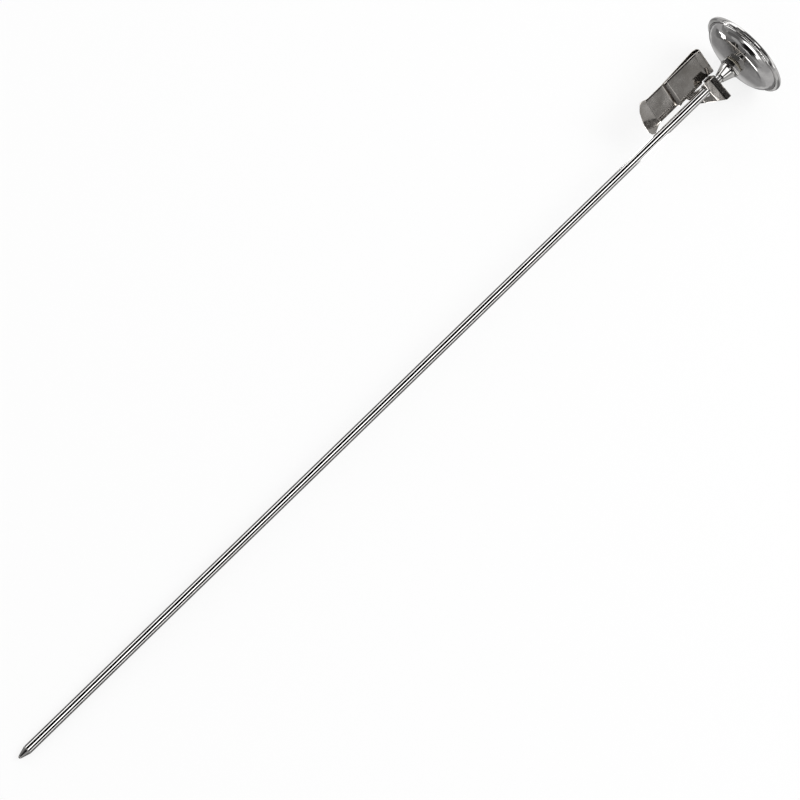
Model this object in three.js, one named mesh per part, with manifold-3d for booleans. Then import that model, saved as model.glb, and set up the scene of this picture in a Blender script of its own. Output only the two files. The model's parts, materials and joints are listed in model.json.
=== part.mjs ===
// A dial thermometer for soil and compost: a long thin steel stem with a bimetal coil in its end,
// a round dial head on its other end, and a sheet steel spring clip that slides on the stem.
// Millimetres, +Z up. The thermometer lies on a flat surface, on the rim of its head and the end
// of its stem, with the tip towards -X and the dial facing +X.
import * as THREE from "three";
import { mergeVertices } from "three/addons/utils/BufferGeometryUtils.js";
import Module from "manifold-3d";

// ---- Driving dimensions ----
// In the instrument's own frame Z runs up the stem from the point of the tip, and Y is the dial's
// twelve o'clock. Inside the head, heights are counted from the rim of the case's back.
const STEM_LENGTH = 508; // 20 in
const STEM_RADIUS = 2.38; // 3/16 in across
const STEM_BORE = 1.95;
const STEM_SIDES = 16;
const TIP_LENGTH = 6;
const TIP_SPIGOT_RADIUS = 1.8;
const TIP_SPIGOT_TOP = 12;

const COIL_LOW = 15.2;
const COIL_HIGH = 64;
const COIL_TURNS = 18;
const COIL_RADIUS = 1.5;
const COIL_STRIP_WIDTH = 1.7;
const COIL_STRIP_THICKNESS = 0.25;
const COIL_STEPS_PER_TURN = 10;
const SHAFT_RADIUS = 0.6;
const SHAFT_TOP = 5.7;
const GUIDES = { lower: 160, middle: 300, upper: 440 };
const GUIDE_LENGTH = 4;
const SMALL_SIDES = 16;

const HEAD_SIDES = 40;
const RIM_RADIUS = 25;
const RIM_BAND_LOW = 5.8;
const RIM_BAND_HIGH = 7.0;
const HEAD_FRONT = 7.8;
const WINDOW_OPENING = 19.9;
const BACK_RADIUS = 17.8;
const BACK_DOME = 1.8;
const CASE_HOLE = 3.45;
const SHEET = 0.5;
const DIAL_RADIUS = 21.4;
const DIAL_FACE = 4.3;
const DIAL_THICKNESS = 0.3;

const HEX_ACROSS_FLATS = 11;
const HEX_LOW = -5.2;
const HEX_HIGH = -2.5;
const HEX_TURN = THREE.MathUtils.degToRad(17); // how far its top corner is past twelve o'clock
const FERRULE_LOW = -12.2;
const FERRULE_RADIUS = 4.8;
const NECK_BORE = 2.53;
const SPIGOT_RADIUS = 3.2;
const SPIGOT_TOP = 0.6;

const TOP_OF_SCALE_F = 110; // the reading at twelve o'clock
const DEGREES_PER_F = 1.85;
const READING_F = 158; // the reading at rest
const POINTER_REACH = 15.9;
const POINTER_TAIL = 7.9;
const POINTER_LOW = 5.0;
const POINTER_THICKNESS = 0.25;
const HUB_RADIUS = 1.54;
const CAP_RADIUS = 1.13;

const CLIP_STATION = STEM_LENGTH - 42; // height on the stem of the clip's own zero
const CLIP_TURN = THREE.MathUtils.degToRad(221.4); // how far round the stem the clip is turned
const CLIP_SHEET = 0.5;
const CLIP_LEFT = -18.3;
const CLIP_RIGHT = -2.6;
const CLIP_HOLE = 2.75;

// ---- Solids: joins and cuts ----
const wasm = await Module();
wasm.setup();

function solidOf(geometry) {
  const bare = geometry.clone();
  bare.deleteAttribute("normal");
  bare.deleteAttribute("uv");
  const merged = mergeVertices(bare, 1e-4);
  return new wasm.Manifold(
    new wasm.Mesh({
      numProp: 3,
      vertProperties: merged.attributes.position.array,
      triVerts: new Uint32Array(merged.index.array),
    }),
  );
}

function geometryOf(solid) {
  const mesh = solid.getMesh();
  const geometry = new THREE.BufferGeometry();
  geometry.setAttribute("position", new THREE.BufferAttribute(mesh.vertProperties, 3));
  geometry.setIndex(new THREE.BufferAttribute(mesh.triVerts, 1));
  return geometry;
}

// ---- Shapes ----
// A turned piece from its profile of [radius, height] points. Its sides are flats that lie at the
// profile's radii, with one flat centred on each of -Y, +Y, -X and +X.
function turned(profile, sides) {
  const grow = 1 / Math.cos(Math.PI / sides);
  const points = profile.map(([radius, height]) => new THREE.Vector2(radius * grow, height));
  const lathe = new THREE.LatheGeometry(points, sides, Math.PI / sides);
  return lathe.rotateX(Math.PI / 2);
}

function disc(radius, low, high, sides) {
  return turned([[0, low], [radius, low], [radius, high], [0, high]], sides);
}

function ring(inner, outer, low, high, sides) {
  return turned([[outer, low], [outer, high], [inner, high], [inner, low], [outer, low]], sides);
}

function box(low, high) {
  const size = high.map((value, i) => value - low[i]);
  const middle = high.map((value, i) => (value + low[i]) / 2);
  return new THREE.BoxGeometry(...size).translate(...middle);
}

// A flat plate from its outline of [x, y] points, from height low to height high.
function plate(outline, low, high) {
  const shape = new THREE.Shape(outline.map(([x, y]) => new THREE.Vector2(x, y)));
  const depth = high - low;
  return new THREE.ExtrudeGeometry(shape, { depth, bevelEnabled: false }).translate(0, 0, low);
}

// A sheet of even thickness on the surface point(u, v, target), with u and v from 0 to 1.
function sheet(point, across, along, thickness) {
  const step = 1e-3;
  const geometry = new THREE.BoxGeometry(1, 1, 1, across, along, 1);
  const position = geometry.attributes.position;
  const at = (u, v) => point(u, v, new THREE.Vector3());
  for (let i = 0; i < position.count; i++) {
    const u = position.getX(i) + 0.5;
    const v = position.getY(i) + 0.5;
    const alongU = at(Math.min(1, u + step), v).sub(at(Math.max(0, u - step), v));
    const alongV = at(u, Math.min(1, v + step)).sub(at(u, Math.max(0, v - step)));
    const normal = alongU.cross(alongV).normalize();
    const place = at(u, v).addScaledVector(normal, thickness * position.getZ(i));
    position.setXYZ(i, place.x, place.y, place.z);
  }
  return geometry;
}

// The outline of a bent strip seen edge on: its middle line given half its thickness each side.
function stripOutline(line, thickness) {
  const points = line.map(([x, y]) => new THREE.Vector2(x, y));
  const last = points.length - 1;
  const side = (sign) =>
    points.map((point, i) => {
      const into = point.clone().sub(points[Math.max(0, i - 1)]).normalize();
      const out = points[Math.min(last, i + 1)].clone().sub(point).normalize();
      const run = into.clone().add(out).normalize();
      const spread = i === 0 || i === last ? 1 : run.dot(out);
      const reach = (sign * thickness) / 2 / spread;
      return [point.x - run.y * reach, point.y + run.x * reach];
    });
  return [...side(-1), ...side(1).reverse()];
}

// ---- Materials ----
function metal(color, roughness) {
  return new THREE.MeshStandardMaterial({ color, roughness, metalness: 1 });
}

const polishedSteel = metal(0xc9c9c6, 0.15);
const satinSteel = metal(0xd3d2ce, 0.35);
const springSteel = metal(0xb9b4ab, 0.22);
const bimetal = metal(0xb49a6a, 0.4);
const brass = metal(0xb89a55, 0.35);
const dialWhite = new THREE.MeshStandardMaterial({ color: 0xe9e9e7, roughness: 0.6 });
const blackPaint = new THREE.MeshStandardMaterial({ color: 0x111111, roughness: 0.5 });
const whitePlastic = new THREE.MeshStandardMaterial({ color: 0xf2f2f0, roughness: 0.4 });
const rubber = new THREE.MeshStandardMaterial({ color: 0x1b1b1b, roughness: 0.8 });
const nylon = new THREE.MeshStandardMaterial({ color: 0xe0dccf, roughness: 0.5 });
const glass = new THREE.MeshStandardMaterial({
  color: 0xffffff,
  roughness: 0.05,
  transparent: true,
  opacity: 0.25,
});

function part(name, geometry, material) {
  const mesh = new THREE.Mesh(geometry, material);
  mesh.name = name;
  return mesh;
}

// ---- The stem and what it holds ----
function stemTube() {
  return ring(STEM_BORE, STEM_RADIUS, TIP_LENGTH, STEM_LENGTH + 0.3, STEM_SIDES);
}

function stemTip() {
  const point = 0.5;
  const joint = TIP_LENGTH - 0.05;
  const profile = [
    [0, 0],
    [point, 0.15],
    [point + 0.4, 0.8],
    [STEM_RADIUS, joint],
    [TIP_SPIGOT_RADIUS, joint],
    [TIP_SPIGOT_RADIUS, TIP_SPIGOT_TOP],
    [0, TIP_SPIGOT_TOP],
  ];
  return turned(profile, STEM_SIDES);
}

function coilAnchor() {
  return disc(TIP_SPIGOT_RADIUS, TIP_SPIGOT_TOP + 0.1, COIL_LOW - 0.1, SMALL_SIDES);
}

// The bimetal strip, wound edge on round the stem's axis.
function bimetalCoil() {
  const climb = COIL_HIGH - COIL_LOW - COIL_STRIP_WIDTH;
  const wound = (u, v, target) => {
    const angle = 2 * Math.PI * COIL_TURNS * u;
    return target.set(
      COIL_RADIUS * Math.cos(angle),
      COIL_RADIUS * Math.sin(angle),
      COIL_LOW + climb * u + COIL_STRIP_WIDTH * v,
    );
  };
  return sheet(wound, COIL_TURNS * COIL_STEPS_PER_TURN, 1, COIL_STRIP_THICKNESS);
}

function coilCollar() {
  return disc(COIL_RADIUS + 0.2, COIL_HIGH + 0.15, COIL_HIGH + 4, SMALL_SIDES);
}

function driveShaft() {
  return disc(SHAFT_RADIUS, COIL_HIGH + 4.05, STEM_LENGTH + SHAFT_TOP, SMALL_SIDES);
}

function shaftGuide(height) {
  return ring(SHAFT_RADIUS + 0.1, STEM_BORE - 0.05, height, height + GUIDE_LENGTH, SMALL_SIDES);
}

// ---- The neck ----
function hexCollar() {
  const corner = HEX_ACROSS_FLATS / 2 / Math.cos(Math.PI / 6);
  const chamfer = 0.5;
  const height = HEX_HIGH - HEX_LOW;
  const hexagon = new THREE.CylinderGeometry(corner, corner, height, 6)
    .rotateX(Math.PI / 2)
    .rotateZ(HEX_TURN)
    .translate(0, 0, (HEX_LOW + HEX_HIGH) / 2);
  const chamfered = turned(
    [
      [0, HEX_LOW],
      [HEX_ACROSS_FLATS / 2 - 0.1, HEX_LOW],
      [corner, HEX_LOW + chamfer],
      [corner, HEX_HIGH - chamfer],
      [HEX_ACROSS_FLATS / 2 - 0.1, HEX_HIGH],
      [0, HEX_HIGH],
    ],
    HEAD_SIDES,
  );
  const spigot = disc(SPIGOT_RADIUS, HEX_HIGH - 1, SPIGOT_TOP, 2 * SMALL_SIDES);
  const bore = disc(NECK_BORE, HEX_LOW - 1, SPIGOT_TOP + 1, STEM_SIDES);
  const nut = solidOf(hexagon).intersect(solidOf(chamfered));
  return geometryOf(nut.add(solidOf(spigot)).subtract(solidOf(bore)));
}

function stemFerrule() {
  const top = HEX_LOW - 0.15;
  const profile = [
    [2.75, FERRULE_LOW],
    [3.0, FERRULE_LOW + 1],
    [FERRULE_RADIUS - 0.1, top - 1.2],
    [FERRULE_RADIUS, top - 0.8],
    [FERRULE_RADIUS, top],
    [NECK_BORE, top],
    [NECK_BORE, FERRULE_LOW],
    [2.75, FERRULE_LOW],
  ];
  return turned(profile, 2 * SMALL_SIDES);
}

function frictionWasher() {
  return ring(SPIGOT_RADIUS + 0.15, 5, HEX_HIGH + 0.15, -BACK_DOME - 0.15, 2 * SMALL_SIDES);
}

function retainingRing() {
  const low = -BACK_DOME + SHEET + 0.15;
  return ring(SPIGOT_RADIUS + 0.1, 5.2, low, low + 0.6, 2 * SMALL_SIDES);
}

// ---- The head ----
// The case is a dish of sheet steel: a slightly domed back, a rounded flank and a flat flange.
function caseBack() {
  const profile = [
    [CASE_HOLE, -BACK_DOME],
    [5.2, -BACK_DOME],
    [BACK_RADIUS - 0.6, -0.12],
    [BACK_RADIUS, 0.1],
    [20, 1.3],
    [21.2, 2.35],
    [22.2, 3.6],
    [22.8, 4.7],
    [23, 5.45],
    [24.2, 5.45],
    [24.2, 5.95],
    [22.5, 5.95],
    [22.28, 4.75],
    [21.74, 3.85],
    [20.82, 2.7],
    [19.7, 1.74],
    [BACK_RADIUS - 0.25, 0.55],
    [5.2, -BACK_DOME + SHEET],
    [CASE_HOLE, -BACK_DOME + SHEET],
    [CASE_HOLE, -BACK_DOME],
  ];
  return turned(profile, HEAD_SIDES);
}

// The bezel is a channel of sheet steel, rolled round the window and the case's flange.
function bezelRing() {
  const lip = 4.9;
  const bore = RIM_RADIUS - 0.6;
  const profile = [
    [23.25, lip],
    [RIM_RADIUS - 0.75, lip],
    [RIM_RADIUS - 0.25, lip + 0.25],
    [RIM_RADIUS, RIM_BAND_LOW],
    [RIM_RADIUS, RIM_BAND_HIGH],
    [RIM_RADIUS - 0.25, HEAD_FRONT - 0.3],
    [RIM_RADIUS - 0.9, HEAD_FRONT],
    [WINDOW_OPENING, HEAD_FRONT],
    [WINDOW_OPENING, HEAD_FRONT - SHEET],
    [bore, HEAD_FRONT - SHEET],
    [bore, lip + 0.45],
    [23.25, lip + 0.45],
    [23.25, lip],
  ];
  return turned(profile, HEAD_SIDES);
}

function windowGasket() {
  return ring(21.8, 24.2, 6.0, 6.3, HEAD_SIDES);
}

function windowPane() {
  return disc(24.2, 6.35, 7.2, HEAD_SIDES);
}

function dialSpacer() {
  return ring(21, 21.7, DIAL_FACE + 0.05, 5.9, HEAD_SIDES);
}

function dialPlate() {
  return ring(1.2, DIAL_RADIUS, DIAL_FACE - DIAL_THICKNESS, DIAL_FACE, HEAD_SIDES);
}

// ---- The pointer ----
function pointerPlate() {
  const outline = [
    [-POINTER_TAIL, -1.3],
    [-1.2, -0.75],
    [1.2, -0.75],
    [POINTER_REACH, -0.3],
    [POINTER_REACH, 0.3],
    [1.2, 0.75],
    [-1.2, 0.75],
    [-POINTER_TAIL, 1.3],
  ];
  const top = POINTER_LOW + POINTER_THICKNESS;
  const blade = solidOf(plate(outline, POINTER_LOW, top));
  const eye = solidOf(disc(HUB_RADIUS - 0.2, POINTER_LOW, top, 2 * SMALL_SIDES));
  const hole = solidOf(disc(SHAFT_RADIUS + 0.05, POINTER_LOW - 1, top + 1, SMALL_SIDES));
  return geometryOf(blade.add(eye).subtract(hole));
}

function pointerHub() {
  const low = POINTER_LOW + POINTER_THICKNESS + 0.05;
  return ring(SHAFT_RADIUS + 0.05, HUB_RADIUS, low, SHAFT_TOP, 2 * SMALL_SIDES);
}

function pointerCap() {
  return disc(CAP_RADIUS, SHAFT_TOP + 0.05, SHAFT_TOP + 0.35, 2 * SMALL_SIDES);
}

// ---- The clip ----
// In the clip's own frame X runs across its leaves, Y points from the front leaf to the back leaf,
// and Z runs up the stem. The strip is one bend: up the front leaf, over the top and down the back
// leaf to the flared foot. The ear carries the stem, which goes through a hole in its slanting face
// and another in its top plate. It is turned round the stem from the leaves.
const LEAF_DEPTH = 4; // the front leaf's middle, behind the stem's axis
const LEAF_FOOT = 4.5; // the front leaf's lower edge
const LIP_FRONT = -4; // the ear's lip, in front of the stem
const LIP_HIGH = 27.5;
const EAR_TURN = THREE.MathUtils.degToRad(-15);
const EAR_BACK = 3.2; // the middle of the ear's lower part, behind the stem's axis
const EAR_LEFT = -4.15;
const EAR_RIGHT = 10;
const EAR_RELIEF = 0.95; // how far the ear's edge is cut back where it passes the front leaf

function clipStrip() {
  const line = [
    [LEAF_DEPTH, LEAF_FOOT],
    [LEAF_DEPTH, 27],
    [3.1, 29.9],
    [3.5, 30.7],
    [5.4, 31],
    [7.4, 30.3],
    [8, 28.6],
    [5, 3],
    [5, -7.4],
    [5.4, -8.6],
    [8.6, -15.4],
  ];
  const bend = plate(stripOutline(line, CLIP_SHEET), CLIP_LEFT - 1, EAR_RIGHT);
  bend.rotateX(Math.PI / 2).rotateZ(Math.PI / 2); // Z to X, X to Y and Y to Z
  const front = [
    [CLIP_LEFT, 40],
    [CLIP_LEFT, -8],
    [-18.9, -9.4],
    [-18.6, -11],
    [-14, -13.6],
    [-7, -15.2],
    [-1, -15.4],
    [1.2, -14.4],
    [1.6, -12.8],
    [CLIP_RIGHT + 0.4, -9],
    [CLIP_RIGHT, -7],
    [CLIP_RIGHT, 21.8],
    [CLIP_RIGHT - 1, 22.4],
    [CLIP_RIGHT - 1, 40],
  ];
  const face = plate(front, -20, 20).rotateX(Math.PI / 2); // the outline, seen from the front
  return solidOf(bend).intersect(solidOf(face));
}

// The ear: up behind the stem, forward past it, up the lip and back over the top.
function clipEar() {
  const line = [
    [EAR_BACK, 8],
    [EAR_BACK, 16.5],
    [-2.3, 20.5],
    [LIP_FRONT, 24],
    [LIP_FRONT, LIP_HIGH - CLIP_SHEET / 2],
    [8, LIP_HIGH - CLIP_SHEET / 2],
  ];
  const bend = plate(stripOutline(line, CLIP_SHEET), EAR_LEFT - 1, EAR_RIGHT + 1);
  bend.rotateX(Math.PI / 2).rotateZ(Math.PI / 2); // Z to X, X to Y and Y to Z
  const front = [
    [EAR_LEFT, 9.5],
    [3.2, 14.2],
    [EAR_RIGHT, 24.7],
    [EAR_RIGHT, 40],
    [EAR_LEFT, 40],
    [EAR_LEFT, 19.6],
    [EAR_LEFT + EAR_RELIEF, 19],
    [EAR_LEFT + EAR_RELIEF, 16.2],
    [EAR_LEFT, 15.6],
  ];
  const above = [[EAR_LEFT, -6], [EAR_RIGHT, -6], [EAR_RIGHT, -2], [4.5, 3.5], [-2, 7], [EAR_LEFT, 7]];
  const face = plate(front, -20, 20).rotateX(Math.PI / 2); // the outline, seen from the front
  return [face, plate(above, 0, 40)].map(solidOf).reduce((kept, outline) => kept.intersect(outline), solidOf(bend));
}

// The ear's side wall, from the front leaf forward to the lip.
function clipWall() {
  const outline = [[3.4, 23.4], [3.4, LIP_HIGH], [LIP_FRONT, LIP_HIGH], [LIP_FRONT, 21.1]];
  return solidOf(plate(outline, EAR_LEFT, EAR_LEFT + CLIP_SHEET).rotateX(Math.PI / 2).rotateZ(Math.PI / 2));
}

function clipSpring() {
  const hem = box([CLIP_LEFT, 3.1, LEAF_FOOT], [CLIP_RIGHT, LEAF_DEPTH + CLIP_SHEET / 2, LEAF_FOOT + 2.2]);
  const ear = geometryOf(clipEar().add(clipWall())).rotateZ(EAR_TURN);
  const hole = disc(CLIP_HOLE, -30, 50, STEM_SIDES);
  const whole = clipStrip().add(solidOf(hem)).add(solidOf(ear));
  return geometryOf(whole.subtract(solidOf(hole)));
}

// ---- Assembly ----
const probe = new THREE.Group();
probe.add(
  part("stem_tube", stemTube(), polishedSteel),
  part("stem_tip", stemTip(), polishedSteel),
  part("coil_anchor", coilAnchor(), brass),
  part("bimetal_coil", bimetalCoil(), bimetal),
);
for (const [place, height] of Object.entries(GUIDES)) {
  probe.add(part(`shaft_guide_${place}`, shaftGuide(height), nylon));
}

const neck = new THREE.Group();
neck.position.z = STEM_LENGTH;
neck.add(
  part("hex_collar", hexCollar(), polishedSteel),
  part("stem_ferrule", stemFerrule(), polishedSteel),
  part("friction_washer", frictionWasher(), nylon),
  part("retaining_ring", retainingRing(), springSteel),
);

const head = new THREE.Group();
head.position.z = STEM_LENGTH;
head.add(
  part("case_back", caseBack(), polishedSteel),
  part("bezel_ring", bezelRing(), satinSteel),
  part("window_gasket", windowGasket(), rubber),
  part("window", windowPane(), glass),
  part("dial_spacer", dialSpacer(), satinSteel),
  part("dial_plate", dialPlate(), dialWhite),
);

const pointer = new THREE.Group();
pointer.position.z = STEM_LENGTH;
pointer.rotation.z = THREE.MathUtils.degToRad(90 - (READING_F - TOP_OF_SCALE_F) * DEGREES_PER_F);
pointer.add(
  part("pointer", pointerPlate(), blackPaint),
  part("pointer_hub", pointerHub(), blackPaint),
  part("pointer_cap", pointerCap(), whitePlastic),
);

const movement = new THREE.Group();
movement.add(
  part("coil_collar", coilCollar(), brass),
  part("drive_shaft", driveShaft(), springSteel),
  pointer,
);

const clip = new THREE.Group();
clip.position.z = CLIP_STATION;
clip.rotation.z = CLIP_TURN;
clip.add(part("clip_spring", clipSpring(), springSteel));

const instrument = new THREE.Group();
instrument.add(probe, neck, head, movement, clip);

// It lies down: the stem's axis leans up by the slope of the line that touches the stem's lower
// end and the rim, and the whole sits on Z = 0 with its box centred on the origin.
const slope = Math.atan(
  (RIM_RADIUS - STEM_RADIUS) / (STEM_LENGTH + RIM_BAND_LOW - TIP_LENGTH),
);
const alongStem = new THREE.Vector3(Math.cos(slope), 0, Math.sin(slope));
const twelve = new THREE.Vector3(-Math.sin(slope), 0, Math.cos(slope));
const three = new THREE.Vector3(0, 1, 0);
instrument.setRotationFromMatrix(new THREE.Matrix4().makeBasis(three, twelve, alongStem));

const thermometer = new THREE.Group();
thermometer.add(instrument);
const reach = new THREE.Box3().setFromObject(thermometer, true);
instrument.position.set(-(reach.min.x + reach.max.x) / 2, 0, -reach.min.z);

export default thermometer;
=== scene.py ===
import json
import math

import bpy
from mathutils import Matrix, Vector


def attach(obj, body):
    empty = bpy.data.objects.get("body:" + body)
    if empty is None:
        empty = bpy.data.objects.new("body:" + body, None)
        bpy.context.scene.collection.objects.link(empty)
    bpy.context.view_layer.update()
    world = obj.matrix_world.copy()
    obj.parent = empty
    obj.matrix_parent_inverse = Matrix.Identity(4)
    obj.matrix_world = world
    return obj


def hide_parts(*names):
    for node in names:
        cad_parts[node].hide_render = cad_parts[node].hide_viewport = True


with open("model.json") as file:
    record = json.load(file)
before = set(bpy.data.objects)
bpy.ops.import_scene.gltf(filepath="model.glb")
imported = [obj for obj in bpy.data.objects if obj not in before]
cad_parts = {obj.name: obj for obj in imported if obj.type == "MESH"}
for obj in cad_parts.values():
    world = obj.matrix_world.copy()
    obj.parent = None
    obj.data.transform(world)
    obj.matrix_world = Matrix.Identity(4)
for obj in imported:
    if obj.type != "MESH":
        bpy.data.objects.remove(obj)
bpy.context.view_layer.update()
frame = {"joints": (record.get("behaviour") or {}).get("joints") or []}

# ---- Where things are, from the frame ----
MM = 0.001
PIVOT = next(joint for joint in frame["joints"] if joint["name"] == "pointer_turn")
ALONG = Vector(PIVOT["axis"]).normalized()
THREE = Vector((0, 1, 0))
TWELVE = ALONG.cross(THREE)


def placed(x_axis, y_axis, z_axis, origin):
    columns = Matrix((x_axis, y_axis, z_axis)).transposed().to_4x4()
    columns.translation = origin
    return columns


# The head's frame: X to the dial's three o'clock, Y to its twelve, Z up the stem, and its origin in
# the middle of the rim of the case's back. The stem's pieces use it too, with heights below zero.
HEAD = placed(THREE, TWELVE, ALONG, Vector(PIVOT["pos_m"]))

# ---- Dimensions, as in the CAD ----
STEM_LENGTH = 508
STEM_RADIUS = 2.38
STEM_BORE = 1.95
TIP_LENGTH = 6
TIP_SPIGOT_RADIUS = 1.8
TIP_SPIGOT_TOP = 12
COIL_LOW = 15.2
COIL_HIGH = 64
COIL_TURNS = 18
COIL_RADIUS = 1.5
COIL_STRIP_WIDTH = 1.7
COIL_STRIP_THICKNESS = 0.25
SHAFT_RADIUS = 0.6
SHAFT_TOP = 5.7
GUIDES = {"lower": 160, "middle": 300, "upper": 440}
GUIDE_LENGTH = 4
RIM_RADIUS = 25
HEAD_FRONT = 7.8
WINDOW_OPENING = 19.9
SHEET = 0.5
BACK_DOME = 1.8
WINDOW_RADIUS = 24.2
WINDOW_LOW = 6.35
DIAL_RADIUS = 21.4
DIAL_FACE = 4.3
HEX_ACROSS_FLATS = 11
HEX_LOW = -5.2
HEX_HIGH = -2.5
HEX_TURN = math.radians(17)
FERRULE_LOW = -12.2
FERRULE_RADIUS = 4.8
NECK_BORE = 2.53
SPIGOT_RADIUS = 3.2
SPIGOT_TOP = 0.6
CASE_HOLE = 3.45
TOP_OF_SCALE_F = 110
DEGREES_PER_F = 1.85
READING_F = 158
POINTER_LOW = 5.0
CLIP_STATION = -42
CLIP_TURN = math.radians(221.4)
CLIP_SHEET = 0.5

POINTER_ANGLE = math.radians(90 - (READING_F - TOP_OF_SCALE_F) * DEGREES_PER_F)
POINTER = HEAD @ Matrix.Rotation(POINTER_ANGLE, 4, "Z")
CLIP = HEAD @ Matrix.Translation((0, 0, CLIP_STATION * MM)) @ Matrix.Rotation(CLIP_TURN, 4, "Z")


# ---- Materials ----
def new_material(name):
    material = bpy.data.materials.new(name)
    material.use_nodes = True
    return material, material.node_tree, material.node_tree.nodes["Principled BSDF"]


def node(tree, kind, settings=None, **inputs):
    """A node of that kind. Inputs are named as its sockets, with _ for a space, and take a value or
    another node's output."""
    made = tree.nodes.new("ShaderNode" + kind)
    for name, value in (settings or {}).items():
        setattr(made, name, value)
    for name, value in inputs.items():
        socket = made.inputs[int(name[1:]) if name[1:].isdigit() else name.replace("_", " ")]
        if isinstance(value, bpy.types.NodeSocket):
            tree.links.new(value, socket)
        else:
            socket.default_value = value
    return made


def object_place(tree):
    return node(tree, "TexCoord").outputs["Object"]


def stretched(tree, place, scale):
    return node(tree, "Mapping", Vector=place, Scale=scale).outputs["Vector"]


def noise(tree, place, scale, detail=3.0, roughness=0.5):
    made = node(tree, "TexNoise", Vector=place, Scale=scale, Detail=detail, Roughness=roughness)
    return made.outputs["Fac"]


def spread(tree, value, low, high, start=0.35, end=0.65):
    """value, which mostly lies between start and end, spread from low to high."""
    made = node(
        tree, "MapRange", Value=value, From_Min=start, From_Max=end, To_Min=low, To_Max=high
    )
    return made.outputs["Result"]


def tinted(tree, value, dark, light, start=0.3, end=0.7):
    ramp = node(tree, "ValToRGB", Fac=value)
    ramp.color_ramp.elements[0].position = start
    ramp.color_ramp.elements[0].color = (*dark, 1)
    ramp.color_ramp.elements[1].position = end
    ramp.color_ramp.elements[1].color = (*light, 1)
    return ramp.outputs["Color"]


def round_axis(tree, place, turns, rings):
    """Coordinates that follow circles round the Z axis: angle, distance from the axis, height."""
    parts = node(tree, "SeparateXYZ", Vector=place)
    x, y, z = (parts.outputs[axis] for axis in "XYZ")
    angle = node(tree, "Math", {"operation": "ARCTAN2"}, _0=y, _1=x).outputs["Value"]
    flat = node(tree, "CombineXYZ", X=x, Y=y).outputs["Vector"]
    distance = node(tree, "VectorMath", {"operation": "LENGTH"}, _0=flat).outputs["Value"]
    ringed = node(tree, "CombineXYZ", X=angle, Y=distance, Z=z).outputs["Vector"]
    return stretched(tree, ringed, (turns, rings, rings))


def metal(name, dark, light, roughness, grain, depth, circular=False):
    """Bare metal: two tints that drift, roughness from low to high, and fine lines. grain is how
    many lines there are to a metre each way, or round and across for circular lines."""
    material, tree, shader = new_material(name)
    place = object_place(tree)
    lines_place = round_axis(tree, place, *grain) if circular else stretched(tree, place, grain)
    lines = noise(tree, lines_place, 1.0, 2.0)
    handled = noise(tree, place, 160.0, 4.0, 0.6)
    both = node(tree, "Math", {"operation": "MULTIPLY"}, _0=lines, _1=handled).outputs["Value"]
    tree.links.new(tinted(tree, handled, dark, light), shader.inputs["Base Color"])
    tree.links.new(spread(tree, both, *roughness, 0.15, 0.4), shader.inputs["Roughness"])
    bump = node(tree, "Bump", Height=lines, Distance=depth * MM)
    bump.inputs["Strength"].default_value = 1.0
    tree.links.new(bump.outputs["Normal"], shader.inputs["Normal"])
    shader.inputs["Metallic"].default_value = 1.0
    return material


def painted(name, dark, light, roughness, scale, depth, specular=0.5):
    """Paint, ink, plastic or rubber: a colour that varies a little and a fine texture."""
    material, tree, shader = new_material(name)
    place = object_place(tree)
    cloud = noise(tree, place, scale / 12, 3.0)
    fine = noise(tree, place, scale, 4.0, 0.6)
    tree.links.new(tinted(tree, cloud, dark, light), shader.inputs["Base Color"])
    tree.links.new(spread(tree, fine, *roughness), shader.inputs["Roughness"])
    bump = node(tree, "Bump", Height=fine, Distance=depth * MM)
    bump.inputs["Strength"].default_value = 1.0
    tree.links.new(bump.outputs["Normal"], shader.inputs["Normal"])
    shader.inputs["Specular IOR Level"].default_value = specular
    return material


def clear_glass(name):
    """Clear glass with faint smears, that lets lamps through to what is behind it."""
    material, tree, shader = new_material(name)
    smears = noise(tree, stretched(tree, object_place(tree), (60, 150, 60)), 1.0, 4.0)
    tree.links.new(spread(tree, smears, 0.0, 0.04, 0.5, 0.8), shader.inputs["Roughness"])
    shader.inputs["Base Color"].default_value = (0.97, 0.985, 0.98, 1)
    shader.inputs["Transmission Weight"].default_value = 1.0
    shader.inputs["IOR"].default_value = 1.5
    open_shader = node(tree, "BsdfTransparent")
    lamp = node(tree, "LightPath").outputs["Is Shadow Ray"]
    mix = node(tree, "MixShader", Fac=lamp, _1=shader.outputs["BSDF"], _2=open_shader.outputs[0])
    tree.links.new(mix.outputs["Shader"], tree.nodes["Material Output"].inputs["Surface"])
    return material


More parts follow.
